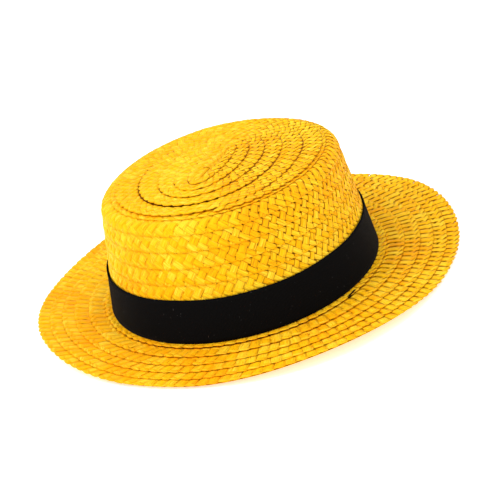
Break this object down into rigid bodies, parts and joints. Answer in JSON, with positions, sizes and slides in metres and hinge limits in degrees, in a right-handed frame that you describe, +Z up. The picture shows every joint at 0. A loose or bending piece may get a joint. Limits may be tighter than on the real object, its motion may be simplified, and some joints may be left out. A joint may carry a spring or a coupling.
{
  "type": "straw boater hat",
  "caption": "Yellow plaited straw boater: flat-topped oval crown, stiff slightly waved brim and a plain black ribbon band lapped at the back.",
  "frame": {"origin": "on the plane the hat stands on, under the middle of the brim", "axes": "+Z up through the crown, -Y the front of the hat, Y the long axis of the oval, +X to the right seen from the front"},
  "size_m": [0.2722, 0.3074, 0.0776],
  "materials": {
    "brim_straw": "dyed palm-leaf braid, flat strips plaited on the bias, satin, with dark slits between strips",
    "side_straw": "dyed palm-leaf braid, flat strips plaited on the bias, satin, a little deeper in colour low down",
    "tip_straw": "dyed palm-leaf braid sewn as a flat spiral, satin, each inner row lapping the next",
    "ribbon": "black ribbed ribbon, dull, with a firm woven edge"
  },
  "bodies": {
    "root": {"brim": "brim_straw", "crown_side": "side_straw", "crown_tip": "tip_straw", "hat_band": "ribbon"}
  },
  "joints": []
}
